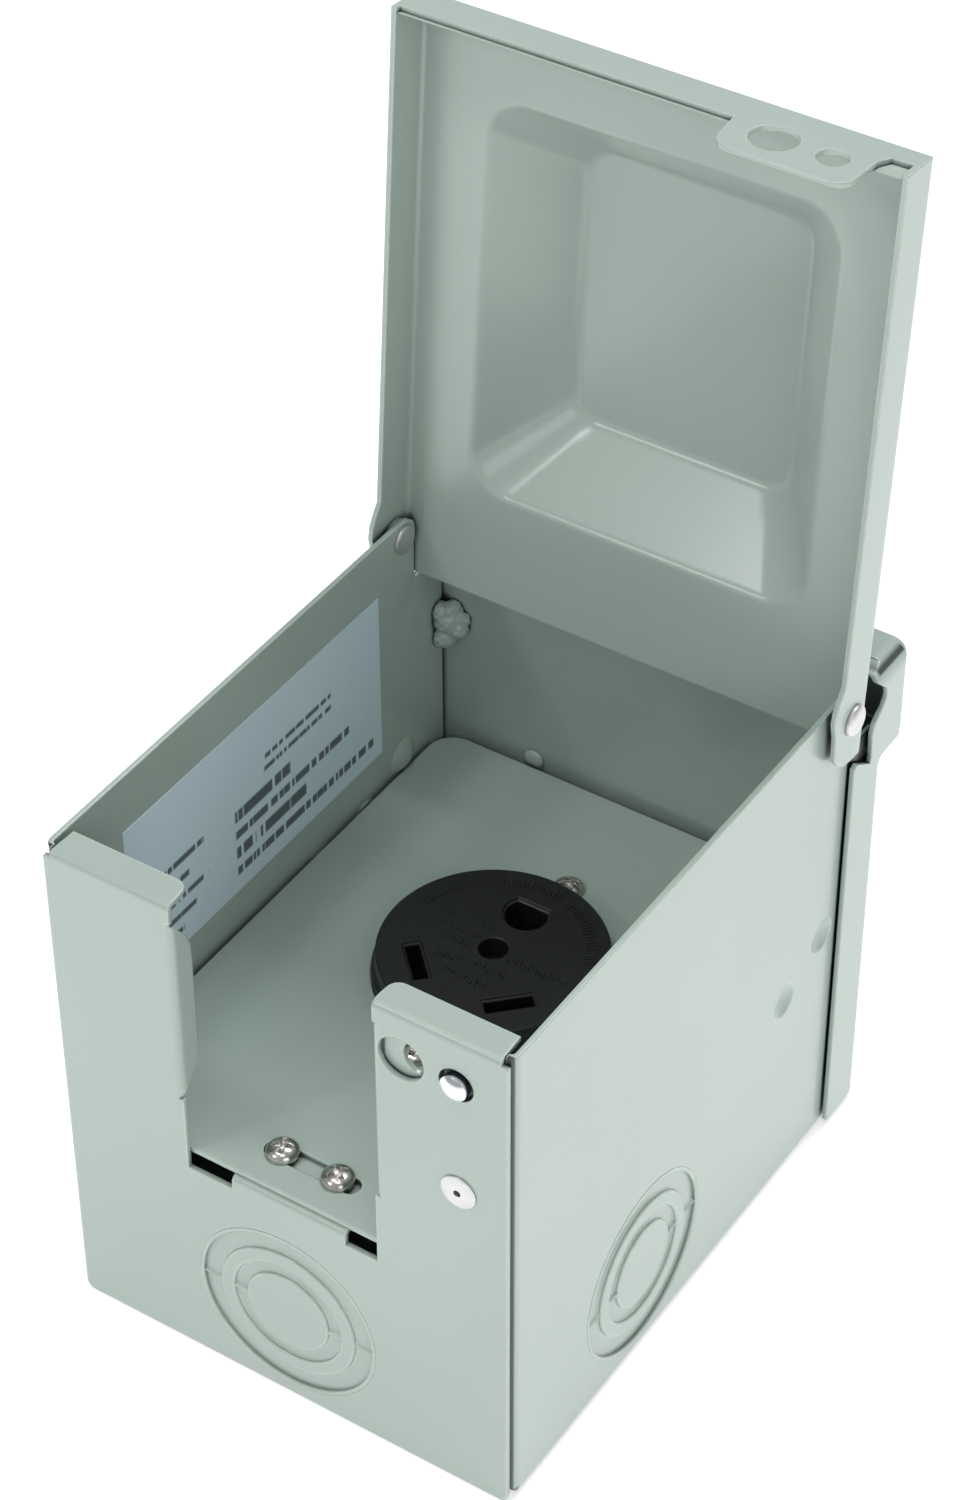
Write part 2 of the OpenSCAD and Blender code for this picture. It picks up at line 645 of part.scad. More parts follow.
// Lay-in ground lug on the back plate, with its foot screw and wire screw
wire_y = 13.5; // wire hole from the foot screw
module ground_lug() color([0.75, 0.76, 0.77]) translate([lug_x, lug_y, 0]) difference() {
  union() {
    box([-5, -6, sheet + 0.02], [5, 20, sheet + 2]);
    box([-5, 7, sheet + 1], [5, 20, sheet + 13]);
  }
  rod_z(0, 5, 2.05);
  rod_x(-6, 6, 3.2, wire_y, sheet + 7);
  rod_z(sheet + 6, sheet + 16, 2.05, 0, wire_y);
}
module ground_lug_screw() color([0.2, 0.5, 0.3])
  translate([lug_x, lug_y, sheet + 2.05]) pan_screw(3.6, 2.4, 1.9, sheet + 1.95);
module ground_wire_screw() color([0.7, 0.71, 0.72])
  translate([lug_x, lug_y + wire_y, sheet + 15.6]) pan_screw(3.4, 2.2, 2.0, 5, true);

shell_wrap();
notch_end_panel();
rain_hood_cap();
knockout_outer_rings();
knockout_middle_rings();
knockout_inner_rings();
knockout_slugs();
corner_welds();
receptacle_deck();
deck_screws();
hood_rivets();
receptacle_face();
receptacle_body();
receptacle_strap();
receptacle_mounting_screws();
receptacle_centre_screw();
line_contact();
neutral_contact();
ground_contact();
line_terminal_screw();
neutral_terminal_screw();
ground_terminal_screw();
hinge_rivets();
lid();
latch_button();
latch_spring();
latch_rivet();
rating_label();
ground_lug();
ground_lug_screw();
ground_wire_screw();
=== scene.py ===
"""A sage powder-coated receptacle enclosure with an open hinged lid and a rain hood.

Metres, +Z up. X runs across the box, one knockout is in its front (y = 0), one in each side,
and the receptacle faces up. Sizes marked mm are scaled by MM as meshes are made.
"""
import bpy, bmesh, json, math
import numpy as np
from mathutils import Matrix, Vector


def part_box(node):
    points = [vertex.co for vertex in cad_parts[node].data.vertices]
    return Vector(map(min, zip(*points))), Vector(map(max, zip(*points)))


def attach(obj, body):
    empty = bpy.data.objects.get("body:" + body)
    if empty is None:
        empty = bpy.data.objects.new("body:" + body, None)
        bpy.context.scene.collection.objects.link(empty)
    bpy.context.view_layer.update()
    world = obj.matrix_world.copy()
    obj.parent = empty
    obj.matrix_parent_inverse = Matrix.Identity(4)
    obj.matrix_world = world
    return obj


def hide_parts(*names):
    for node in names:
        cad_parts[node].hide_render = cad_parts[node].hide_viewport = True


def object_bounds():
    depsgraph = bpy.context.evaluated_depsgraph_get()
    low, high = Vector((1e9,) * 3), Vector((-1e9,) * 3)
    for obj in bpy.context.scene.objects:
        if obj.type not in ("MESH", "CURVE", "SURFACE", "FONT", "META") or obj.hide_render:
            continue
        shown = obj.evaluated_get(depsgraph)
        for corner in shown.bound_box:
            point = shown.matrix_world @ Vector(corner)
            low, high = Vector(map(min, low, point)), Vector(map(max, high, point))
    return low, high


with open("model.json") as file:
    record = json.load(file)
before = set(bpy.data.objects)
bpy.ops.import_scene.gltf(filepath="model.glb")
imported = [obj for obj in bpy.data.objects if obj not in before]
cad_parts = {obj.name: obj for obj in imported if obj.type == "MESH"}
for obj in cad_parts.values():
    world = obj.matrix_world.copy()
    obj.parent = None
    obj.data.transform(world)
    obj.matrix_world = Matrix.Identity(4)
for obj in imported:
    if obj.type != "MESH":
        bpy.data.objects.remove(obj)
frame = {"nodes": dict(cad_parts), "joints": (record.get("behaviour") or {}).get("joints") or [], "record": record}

cad_low, cad_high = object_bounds()
NODES = frame["nodes"]
MM = 0.001
scene = bpy.context.scene


# ---------------------------------------------------------------- shader node helpers
class Surface:
    """One Principled material, patterned in object space"""

    def __init__(self, name):
        self.material = bpy.data.materials.new(name)
        self.material.use_nodes = True
        self.tree = self.material.node_tree
        self.tree.nodes.clear()
        output = self.node("ShaderNodeOutputMaterial")
        self.shader = self.node("ShaderNodeBsdfPrincipled")
        self.put(output.inputs[0], self.shader.outputs[0])
        self.coords = self.node("ShaderNodeTexCoord").outputs["Object"]

    def put(self, socket, value):
        if isinstance(value, bpy.types.NodeSocket):
            self.tree.links.new(value, socket)
        else:
            socket.default_value = value

    def node(self, kind, inputs=None, **settings):
        node = self.tree.nodes.new(kind)
        for key, value in settings.items():
            setattr(node, key, value)
        for key, value in (inputs or {}).items():
            self.put(node.inputs[key], value)
        return node

    def noise(self, scale, detail=2.0, rough=0.5, coords=None):
        return self.node("ShaderNodeTexNoise", {
            "Vector": coords or self.coords, "Scale": scale,
            "Detail": detail, "Roughness": rough}).outputs["Fac"]

    def ramp(self, value, over, to=(0.0, 1.0), curve="LINEAR"):
        """Map the range `over` onto the range `to`, clamped"""
        return self.node("ShaderNodeMapRange", {
            "Value": value, "From Min": over[0], "From Max": over[1],
            "To Min": to[0], "To Max": to[1]}, interpolation_type=curve).outputs["Result"]

    def math(self, operation, a, b=0.0, clamp=False):
        return self.node("ShaderNodeMath", {0: a, 1: b},
                         operation=operation, use_clamp=clamp).outputs[0]

    def times(self, a, b, clamp=False):
        return self.math("MULTIPLY", a, b, clamp)

    def mix(self, factor, a, b):
        return self.node("ShaderNodeMix", {0: factor, 6: a, 7: b},
                         data_type="RGBA", blend_type="MIX").outputs[2]

    def stretched(self, scale):
        return self.node("ShaderNodeMapping", {
            "Vector": self.coords, "Scale": scale}).outputs[0]

    def axes(self):
        return self.node("ShaderNodeSeparateXYZ", {0: self.coords}).outputs

    def edges(self, radius, samples=3):
        """(rounded normal, edge mask 0..1)"""
        rounded = self.node("ShaderNodeBevel", {"Radius": radius}, samples=samples).outputs[0]
        facing = self.node("ShaderNodeNewGeometry").outputs["Normal"]
        match = self.node("ShaderNodeVectorMath", {0: rounded, 1: facing},
                          operation="DOT_PRODUCT").outputs["Value"]
        return rounded, self.ramp(match, over=(0.997, 0.91))

    def occlusion_shade(self, distance, over, samples):
        """Painted shade mask from ambient occlusion: 1 deep inside tight seams and gaps, 0 on open faces"""
        open_sky = self.node("ShaderNodeAmbientOcclusion", {"Distance": distance},
                             samples=samples).outputs["AO"]
        return self.ramp(open_sky, over, to=(1.0, 0.0), curve="SMOOTHSTEP")

    def bump(self, height, strength, distance, normal=None):
        inputs = {"Height": height, "Strength": strength, "Distance": distance}
        if normal is not None:
            inputs["Normal"] = normal
        return self.node("ShaderNodeBump", inputs).outputs[0]

    def finish(self, inputs):
        """Set the Principled inputs and return the material"""
        for key, value in inputs.items():
            self.put(self.shader.inputs[key], value)
        return self.material


def srgb(*channels):
    def linear(c):
        return (c / 255 / 12.92) if c <= 10 else ((c / 255 + 0.055) / 1.055) ** 2.4
    return tuple(linear(c) for c in channels) + (1.0,)


def tint(color, gain, lift=0.0):
    return tuple(min(1, c * gain + lift) for c in color[:3]) + (1,)


# ---------------------------------------------------------------- materials
SAGE = srgb(169, 185, 177)
# the hood's dark inside is painted shade
HOOD_MOUTH_Z = 0.1123  # lower limit of the hood's dark inside, metres


def seam_shadow(mat, color):
    """Painted shadow: dark lines in the gaps where the end panel and the end cap strips lap over the wrap"""
    axes = mat.axes()
    side, y = mat.math("ABSOLUTE", axes["X"]), axes["Y"]
    front = mat.times(mat.ramp(side, over=(0.0577, 0.0580)),
                      mat.ramp(y, over=(0.00215, 0.00255), to=(1.0, 0.0)))
    rear = mat.times(mat.ramp(side, over=(0.0594, 0.0596)), mat.ramp(y, over=(0.1406, 0.1411)))
    strength = mat.times(mat.math("MAXIMUM", front, rear), 0.96)
    return mat.mix(strength, color, (0.008, 0.010, 0.010, 1))


def hood_shadow(mat, color):
    """Painted shade: the inside of the rain hood is darkened to near black"""
    axes = mat.axes()
    side, y, z = mat.math("ABSOLUTE", axes["X"]), axes["Y"], axes["Z"]
    deep = mat.times(mat.ramp(side, over=(0.0606, 0.0609), to=(1.0, 0.0)),
                     mat.ramp(y, over=(0.16385, 0.1643), to=(1.0, 0.0)))
    above = mat.ramp(z, over=(HOOD_MOUTH_Z - 0.0006, HOOD_MOUTH_Z - 0.0002))
    below = mat.ramp(z, over=(0.1364, 0.1370), to=(1.0, 0.0))
    deep = mat.times(deep, mat.times(above, below))
    deep = mat.times(deep, mat.ramp(y, over=(0.1520, 0.1530)))
    return mat.mix(mat.times(deep, 0.88), color, (0.012, 0.015, 0.014, 1))


def paint(name, shadow=None):
    """Satin powder coat: faint colour drift, fine orange peel, edges paler partly from rubbed paint and partly
    from a painted highlight, painted shade in seams and recesses, handling marks
    """
    mat = Surface(name)
    rounded, edge = mat.edges(radius=0.0008, samples=4)
    drift = mat.noise(scale=14.0)
    fleck = mat.noise(scale=2600.0, rough=0.6)
    color = mat.mix(mat.ramp(drift, over=(0.3, 0.7)), tint(SAGE, 0.975), tint(SAGE, 1.02))
    color = mat.mix(mat.ramp(fleck, over=(0.62, 0.8), to=(0, 0.10)), color, tint(SAGE, 1.25))
    patches = mat.ramp(mat.noise(scale=220.0, detail=4.0, rough=0.65),
                       over=(0.32, 0.62), to=(0.65, 1.0))
    # paler edges: partly rubbed paint, partly a painted highlight along the sheet edges
    color = mat.mix(mat.times(edge, patches, clamp=True), color, tint(SAGE, 1.6, lift=0.05))
    # painted shade: ambient occlusion darkens the box's inside and corners (wide) and its seams and gaps (tight)
    wide = mat.occlusion_shade(distance=0.012, over=(0.05, 0.34), samples=4)
    color = mat.mix(mat.times(wide, 0.60), color, tint(SAGE, 0.22))
    tight = mat.occlusion_shade(distance=0.0024, over=(0.30, 0.66), samples=6)
    color = mat.mix(mat.times(tight, 0.95), color, (0.010, 0.013, 0.012, 1))
    if shadow:
        color = shadow(mat, color)
    scuff = mat.noise(scale=60.0, detail=5.0, rough=0.7,
                      coords=mat.stretched((1.0, 0.25, 1.6)))
    rough = mat.math("ADD", mat.ramp(scuff, over=(0.3, 0.8), to=(0.292, 0.322)),
                     mat.ramp(fleck, over=(0.3, 0.7), to=(-0.01, 0.01)))
    peel = mat.math("ADD", mat.times(mat.noise(scale=900.0, detail=3.0, rough=0.55), 0.8),
                    mat.times(mat.noise(scale=2800.0, detail=1.0), 0.35))
    return mat.finish({
        "Base Color": color, "Roughness": rough,
        "Normal": mat.bump(peel, strength=0.10, distance=0.0002, normal=rounded),
        "Coat Weight": 0.55, "Coat Roughness": 0.17, "Coat Normal": rounded})


def metal(name, color, rough, brushed=(1, 1, 1), bump=0.12, tarnish=0.25):
    """Fine-grained metal; `brushed` stretches the grain, `tarnish` darkens it in patches"""
    mat = Surface(name)
    rounded, edge = mat.edges(radius=0.0002)
    grain = mat.noise(scale=900.0, detail=5.0, rough=0.6, coords=mat.stretched(brushed))
    patches = mat.noise(scale=180.0, detail=3.0, rough=0.6)
    stain = mat.times(mat.ramp(patches, over=(0.4, 0.75)), tarnish)
    shade = mat.mix(stain, color, tint(color, 0.72))
    shade = mat.mix(mat.times(edge, 0.4), shade, tint(color, 1.15))
    roughness = mat.math(
        "ADD", mat.ramp(grain, over=(0.3, 0.7), to=(rough - 0.06, rough + 0.08)),
        mat.times(patches, 0.06))
    return mat.finish({
        "Base Color": shade, "Roughness": roughness, "Metallic": 1.0,
        "Normal": mat.bump(grain, strength=bump, distance=0.00005, normal=rounded)})


def phenolic(name):
    """Black moulding with a little dust and paler edges"""
    mat = Surface(name)
    rounded, edge = mat.edges(radius=0.0003)
    grain = mat.noise(scale=1500.0, detail=3.0, rough=0.6)
    dust = mat.noise(scale=420.0, detail=5.0, rough=0.7)
    color = mat.mix(mat.ramp(dust, over=(0.55, 0.85), to=(0.0, 0.35)),
                    (0.010, 0.010, 0.011, 1), (0.035, 0.036, 0.037, 1))
    color = mat.mix(mat.times(edge, 0.35), color, (0.07, 0.07, 0.072, 1))
    return mat.finish({
        "Base Color": color,
        "Roughness": mat.ramp(dust, over=(0.3, 0.8), to=(0.30, 0.46)),
        "Normal": mat.bump(grain, strength=0.16, distance=0.0001, normal=rounded)})


# Bars on the label, metres: centre z, half height, start y, end y, and word noise scale
LABEL_BARS = [
    (0.0990, 0.0017, 0.066, 0.088, 572), (0.0935, 0.0012, 0.066, 0.112, 726),
    (0.0880, 0.0017, 0.066, 0.094, 572), (0.0825, 0.0012, 0.066, 0.122, 726),
    (0.1055, 0.0007, 0.078, 0.105, 924), (0.1090, 0.0007, 0.078, 0.105, 924),
    (0.1020, 0.0009, 0.034, 0.054, 660), (0.0965, 0.0009, 0.034, 0.048, 660),
    (0.0910, 0.0008, 0.034, 0.056, 836), (0.0860, 0.0008, 0.034, 0.050, 836),
    (0.0815, 0.0008, 0.034, 0.045, 836),
]


def label(name):
    """Pale blue film with rows of broken grey bars"""
    mat = Surface(name)
    axes = mat.axes()
    y, z = axes["Y"], axes["Z"]

    def band(value, low, high, soft=0.0003):
        rise = mat.ramp(value, over=(low - soft, low + soft))
        fall = mat.ramp(value, over=(high - soft, high + soft))
        return mat.math("SUBTRACT", rise, fall, clamp=True)

    ink = None
    for i, (mid_z, half_height, start, end, word_scale) in enumerate(LABEL_BARS):
        bar = mat.times(band(z, mid_z - half_height, mid_z + half_height), band(y, start, end))
        # each bar reads its own row of the noise
        row = mat.node("ShaderNodeCombineXYZ", {0: y, 1: 0.37 * i}).outputs[0]
        words = mat.noise(scale=word_scale, detail=0.0, coords=row)
        bar = mat.times(bar, mat.ramp(words, over=(0.36, 0.40)))
        ink = bar if ink is None else mat.math("MAXIMUM", ink, bar)
    film = mat.mix(mat.noise(scale=30.0), srgb(206, 228, 240), srgb(216, 234, 244))
    return mat.finish({
        "Base Color": mat.mix(mat.times(ink, 0.9), film, srgb(52, 60, 68)),
        "Roughness": mat.ramp(mat.noise(scale=400.0), over=(0.3, 0.7), to=(0.30, 0.38)),
        "Normal": mat.bump(mat.noise(scale=90.0), strength=0.08, distance=0.0005)})


MATERIALS = {
    "powder_coat": paint("powder_coat_sage"),
    "nickel_screw": metal("nickel_plate", (0.62, 0.60, 0.57, 1), rough=0.17, tarnish=0.45),
    "black_phenolic": phenolic("black_phenolic"),
    "yoke_steel": metal("zinc_yoke", (0.72, 0.73, 0.70, 1), rough=0.30, brushed=(1, 6, 1)),
    "contact_brass": metal("brass", (0.80, 0.58, 0.27, 1), rough=0.28, brushed=(1, 1, 5)),
    "contact_tinned": metal("tinned_brass", (0.74, 0.73, 0.68, 1), rough=0.30,
                            brushed=(1, 1, 5)),
    "green_screw": metal("green_dyed_zinc", (0.06, 0.30, 0.13, 1), rough=0.34),
    "rivet_metal": metal("rivet_aluminium", (0.70, 0.70, 0.69, 1), rough=0.42,
                         bump=0.2, tarnish=0.15),
    "button_steel": metal("bright_zinc", (0.78, 0.81, 0.86, 1), rough=0.13,
                          bump=0.05, tarnish=0.2),
    "spring_steel": metal("spring_steel", (0.74, 0.74, 0.72, 1), rough=0.26,
                          brushed=(8, 1, 1)),
    "label_film": label("label_film"),
    "lug_aluminium": metal("lug_aluminium", (0.76, 0.77, 0.78, 1), rough=0.42,
                           brushed=(6, 1, 1), bump=0.3),
}


def dress_cad():
    """Give every CAD piece its material; the wrap and the hood get shadowed paint"""
    slot_of = {part["node"]: part["material_slot"] for part in frame["record"]["subparts"]}
    for name, piece in NODES.items():
        for slot in piece.material_slots:
            slot.material = MATERIALS[slot_of[name]]
    for node, name, shadow in (("shell_wrap", "powder_coat_wrap", seam_shadow),
                               ("rain_hood_cap", "powder_coat_hood", hood_shadow)):
        for slot in NODES[node].material_slots:
            slot.material = paint(name, shadow)


dress_cad()


# ---------------------------------------------------------------- mesh helpers
def new_piece(name, verts, faces, slot, sharp, body="enclosure", weld=2e-6,
              recalc=True, transform=None):
    """Weld, shade and register a mesh; `sharp` is the crease angle in degrees, 0 for none"""
    mesh = bpy.data.meshes.new(name)
    mesh.from_pydata([tuple(v) for v in verts], [], [tuple(f) for f in faces])
    mesh.update()
    piece = bpy.data.objects.new(name, mesh)
    scene.collection.objects.link(piece)
    if transform is not None:
        mesh.transform(transform)
    bm = bmesh.new()
    bm.from_mesh(mesh)
    bmesh.ops.remove_doubles(bm, verts=bm.verts, dist=weld)
    if recalc:
        bmesh.ops.recalc_face_normals(bm, faces=bm.faces)
    bm.to_mesh(mesh)
    bm.free()
    for polygon in mesh.polygons:
        polygon.use_smooth = True
    if sharp:
        mesh.set_sharp_from_angle(angle=math.radians(sharp))
    mesh.materials.append(MATERIALS[slot])
    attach(piece, body)
    return piece


def smoothstep(x):
    x = np.clip(x, 0, 1)
    return x * x * (3 - 2 * x)


def polar(radii, count, height, back_z):
    """Closed disc or ring: top surface height(radius, angle) over the radii, flat back"""
    verts, faces = [], []
    angles = np.arange(count) * 2 * math.pi / count

    def ring(radius, heights):
        first = len(verts)
        if radius < 1e-9:
            verts.append((0, 0, float(heights[0])))
            return [first] * count
        verts.extend((radius * math.cos(angle), radius * math.sin(angle), float(z))
                     for angle, z in zip(angles, heights))
        return list(range(first, first + count))

    rows = [ring(radius, height(np.full(count, radius), angles)) for radius in radii]
    back_inner, back_outer = [ring(radius, np.full(count, back_z))
                              for radius in (radii[0], radii[-1])]
    loops = rows + [back_outer, back_inner]
    if radii[0] > 1e-9:
        loops.append(rows[0])
    for near, far in zip(loops[:-1], loops[1:]):
        for i in range(count):
            j = (i + 1) % count
            # dropping repeats turns quads at the centre into triangles
            face = list(dict.fromkeys([near[i], far[i], far[j], near[j]]))
            if len(face) > 2:
                faces.append(face)
    return verts, faces


def placed(shape, position, axis):
    """Move a shape in mm to a position in mm, its local +Z along the axis"""
    z = Vector(axis).normalized()
    up = Vector((0, 0, 1))
    if abs(z.dot(up)) > 0.9:
        up = Vector((0, 1, 0))
    x = up.cross(z).normalized()
    y = z.cross(x)
    origin = [p * MM for p in position]
    rows = [(x[i], y[i], z[i], origin[i]) for i in range(3)]
    matrix = Matrix((*rows, (0, 0, 0, 1))) @ Matrix.Scale(MM, 4)
    verts, faces = shape
    return [matrix @ Vector(v) for v in verts], faces


def join(shapes):
    all_verts, all_faces = [], []
    for verts, faces in shapes:
        first = len(all_verts)
        all_verts += list(verts)
        all_faces += [[i + first for i in face] for face in faces]
    return all_verts, all_faces


# ---------------------------------------------------------------- lid with a drawn pan
# mm, with the lid closed: its sheet lies flat and the pan rises from it
LID_OPEN = math.radians(94.6)
LID_INNER_Z, LID_OUTER_Z = 140.2, 141.4
LID_HALF_X = 60.5
PAN_MID_Y = 68.4
PAN_HALF_X, PAN_HALF_Y = 44.25, 50.5  # rim outline
PAN_SHRINK = 15.5                     # from rim outline to floor outline, each side
PAN_CORNER, CORNER_SHRINK = 10.5, 4.0
PAN_DEPTH = 20.0
# sheet z, outline growth, rim and floor rounding (as shares of the wall), faces up
PAN_SIDES = ((LID_INNER_Z, 0.0, 0.06, 0.085, False), (LID_OUTER_Z, 0.9, 0.12, 0.05, True))


def lid_without_sheet(to_closed):
    """CAD lid, closed, less its flat sheet; also the sheet's least and greatest y, metres"""
    inner, outer = LID_INNER_Z * MM, LID_OUTER_Z * MM
    bm = bmesh.new()
    bm.from_mesh(NODES["lid"].data)
    bm.transform(to_closed)
    bmesh.ops.remove_doubles(bm, verts=bm.verts, dist=5e-6)
    doomed = []
    for face in bm.faces:
        mid = face.calc_center_median()
        heights = [v.co.z for v in face.verts]
        flat = any(all(abs(z - level) < 2e-5 for z in heights) for level in (inner, outer))
        inside = all(abs(v.co.x) < LID_HALF_X * MM + 2e-5 and v.co.y > 0.0001
                     for v in face.verts)
        raised = max(heights) > outer + 3e-5
        central = (abs(mid.x) < 0.050 and 0.012 < mid.y < 0.125
                   and max(heights) > inner - 3e-5)
        if (flat and inside) or raised or central:
            doomed.append(face)
    bmesh.ops.delete(bm, geom=doomed, context="FACES")
    sheet_y = [v.co.y for v in bm.verts if abs(v.co.z - outer) < 3e-5]
    bm.verts.index_update()
    verts = [tuple(v.co) for v in bm.verts]
    faces = [[v.index for v in face.verts] for face in bm.faces]
    bm.free()
    return verts, faces, min(sheet_y), max(sheet_y)


def pan_share(x, y, grow):
    """0 on the rim outline, 1 on the floor outline, of shrinking rounded rectangles"""
    low, high = np.full(x.shape, -1.2), np.full(x.shape, 3.2)
    for _ in range(34):  # bisection
        share = (low + high) / 2
        half_x = PAN_HALF_X + grow - PAN_SHRINK * share
        half_y = PAN_HALF_Y + grow - PAN_SHRINK * share
        corner = np.clip(PAN_CORNER + grow - CORNER_SHRINK * share, 0.5, None)
        corner = np.minimum(corner, np.minimum(np.maximum(half_x, 0.6),
                                               np.maximum(half_y, 0.6)))
        over_x, over_y = np.abs(x) - (half_x - corner), np.abs(y) - (half_y - corner)
        distance = (np.hypot(np.maximum(over_x, 0), np.maximum(over_y, 0))
                    + np.minimum(np.maximum(over_x, over_y), 0) - corner)
        inside = distance < 0
        low = np.where(inside, share, low)
        high = np.where(inside, high, share)
    return (low + high) / 2


def pan_profile(share, rim, floor):
    """Wall height 0..1, rounded over +-rim at its foot and +-floor at its top"""
    def eased(u, width):
        u = np.clip(u, -width, None)
        return np.where(u < width, (u + width) ** 2 / (4 * width), u)
    return eased(share, rim) - eased(share - 1, floor)


def grid_lines(low, high, mid, outer, inner):
    """Coarse over the rim and floor, fine between `outer` and `inner` from mid"""
    stops = (low, mid - outer, mid - inner, mid + inner, mid + outer, high)
    counts = (8, 66, 30, 66, 8)
    runs = [np.linspace(a, b, count) for a, b, count in zip(stops, stops[1:], counts)]
    return np.concatenate([run[:-1] for run in runs[:-1]] + runs[-1:])


def make_lid():
    hinge = next(joint for joint in frame["joints"] if joint["name"] == "lid_hinge")
    pivot = Vector(hinge["pos_m"])
    to_closed = (Matrix.Translation(pivot) @ Matrix.Rotation(LID_OPEN, 4, "X")
                 @ Matrix.Translation(-pivot))
    verts, faces, y_min, y_max = lid_without_sheet(to_closed)
    xs = grid_lines(-LID_HALF_X, LID_HALF_X, mid=0.0, outer=47.0, inner=26.0)
    ys = grid_lines(y_min * 1000, y_max * 1000, mid=PAN_MID_Y, outer=53.5, inner=32.0)
    columns, rows = len(xs), len(ys)
    grid_x, grid_y = np.meshgrid(xs, ys)
    for sheet_z, grow, rim, floor, faces_up in PAN_SIDES:
        share = pan_share(grid_x, grid_y - PAN_MID_Y, grow)
        grid_z = sheet_z + pan_profile(share, rim, floor) * PAN_DEPTH
        first = len(verts)
        verts += [(x * MM, y * MM, z * MM)
                  for x, y, z in zip(grid_x.flat, grid_y.flat, grid_z.flat)]
        for i in range(rows - 1):
            for j in range(columns - 1):
                a = first + i * columns + j
                quad = [a, a + 1, a + columns + 1, a + columns]
                faces.append(quad if faces_up else quad[::-1])
    lid = new_piece("lid_cover", verts, faces, "powder_coat", sharp=35, body="lid",
                    weld=3e-6, recalc=False, transform=to_closed.inverted())
    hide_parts("lid")


make_lid()


# ---------------------------------------------------------------- knockouts
# mm; radii from the outermost groove inwards
RING_1, RING_2, RING_3, RING_4 = 23.2, 18.4, 14.7, 11.2
LIP = 1.05
SHEET, GROOVE_DEPTH, GROOVE_SOFT = 1.2, 0.85, 0.30
KNOCKOUT_PLACES = [((0, 0, 27.5), (0, -1, 0)),
                   ((59.9, 56.2, 27.5), (1, 0, 0)), ((-59.9, 56.2, 27.5), (-1, 0, 0))]
# piece, inner radius, outer radius
KNOCKOUT_RINGS = [("outer_rings", RING_2, RING_1 + LIP), ("middle_rings", RING_3, RING_2),
                  ("inner_rings", RING_4, RING_3), ("slugs", 0.0, RING_4)]


def knockout_height(r, angle):
    """Two soft-edged grooves, each crossed by two thin ties on the local X axis"""
    def groove(low, high):
        return (smoothstep((r - low + GROOVE_SOFT) / (2 * GROOVE_SOFT))
                * (1 - smoothstep((r - high + GROOVE_SOFT) / (2 * GROOVE_SOFT))))
    recess = groove(RING_2, RING_1 + 0.35) + groove(RING_4, RING_3)
    off_axis = np.abs(r * np.sin(angle))
    tie = (1 - smoothstep((off_axis - 0.25) / 0.45)) * (np.abs(np.sin(angle)) < 0.5)
    return -GROOVE_DEPTH * recess * (1 - 0.85 * tie) + 0.03


def step_in(vert):
    """Pull the back of the lip in, so what lies on the sheet is paper thin"""
    x, y, z = vert
    if z > -1.0 or math.hypot(x, y) < RING_1:
        return vert
    shrink = RING_1 / (RING_1 + LIP)
    return x * shrink, y * shrink, z


def make_knockouts():
    for name, inner, outer in KNOCKOUT_RINGS:
        radii = list(np.linspace(inner, outer, max(5, int((outer - inner) / 0.14))))
        verts, faces = polar(radii, 240, knockout_height, -SHEET - 0.1)
        if name == "outer_rings":
            verts = [step_in(v) for v in verts]
        shapes = [placed((verts, faces), position, axis) for position, axis in KNOCKOUT_PLACES]
        piece = new_piece("pressed_knockout_" + name, *join(shapes), "powder_coat", sharp=50)
        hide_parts("knockout_" + name)


make_knockouts()


# ---------------------------------------------------------------- cross-recess screws
face_low, face_high = (Vector(corner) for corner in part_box("receptacle_face"))
FACE_MID_Y = ((face_low + face_high) / 2).y / MM
FACE_TOP_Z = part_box("receptacle_face")[1][2] / MM
SCREW_SEAT_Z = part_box("receptacle_deck")[1][2] / MM + 0.02


def screw(head_radius, head_height, shank_radius, length, turn, rim=0.35):
    """Domed head with a cross recess turned by `turn` radians, on a plain shank, mm"""
    def head_z(r, angle):
        share = np.clip(r / (head_radius * 1.02), 0, 1)
        dome = np.sqrt(np.clip(1 - (share ** 2.3) * 0.97, 0, 1))
        x, y = r * np.cos(angle - turn), r * np.sin(angle - turn)
        cut = 0
        for across, along in ((x, y), (y, x)):
            half_width = 0.62 - 0.12 * np.clip(np.abs(along) / (0.55 * head_radius), 0, 1)
            arm = 1 - smoothstep((np.abs(across) - half_width + 0.14) / 0.28)
            end = 1 - smoothstep((np.abs(along) - 0.56 * head_radius + 0.25) / 0.5)
            taper = 1 - 0.45 * np.clip(np.abs(along) / (0.56 * head_radius), 0, 1)
            cut = np.maximum(cut, arm * end * taper)
        return rim + (head_height - rim) * dome - cut * (1.5 * head_height / 2.4)

    radii = [0] + list(np.linspace(0.12, head_radius, 30))
    head = polar(radii, 120, head_z, 0.0)
    shank = polar([0, shank_radius], 48, lambda r, angle: 0 * r + 0.1, -length)
    return join([head, shank])


def make_screws(name, places, **sizes):
    """One upright screw for each (x, y, turn)"""
    shapes = [placed(screw(turn=turn, **sizes), (x, y, SCREW_SEAT_Z), (0, 0, 1))
              for x, y, turn in places]
    piece = new_piece(name + "_set", *join(shapes), "nickel_screw", sharp=38)
    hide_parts(name + "s")


make_screws("deck_screw", [(-7.5, 11.2, 0.35), (7.5, 11.2, 1.0)],
            head_radius=3.85, head_height=2.6, shank_radius=2.0, length=9)
make_screws("receptacle_mounting_screw",
            [(0, FACE_MID_Y - 33, 0.2), (0, FACE_MID_Y + 33, 0.7)],
            head_radius=3.8, head_height=2.4, shank_radius=1.7, length=8)


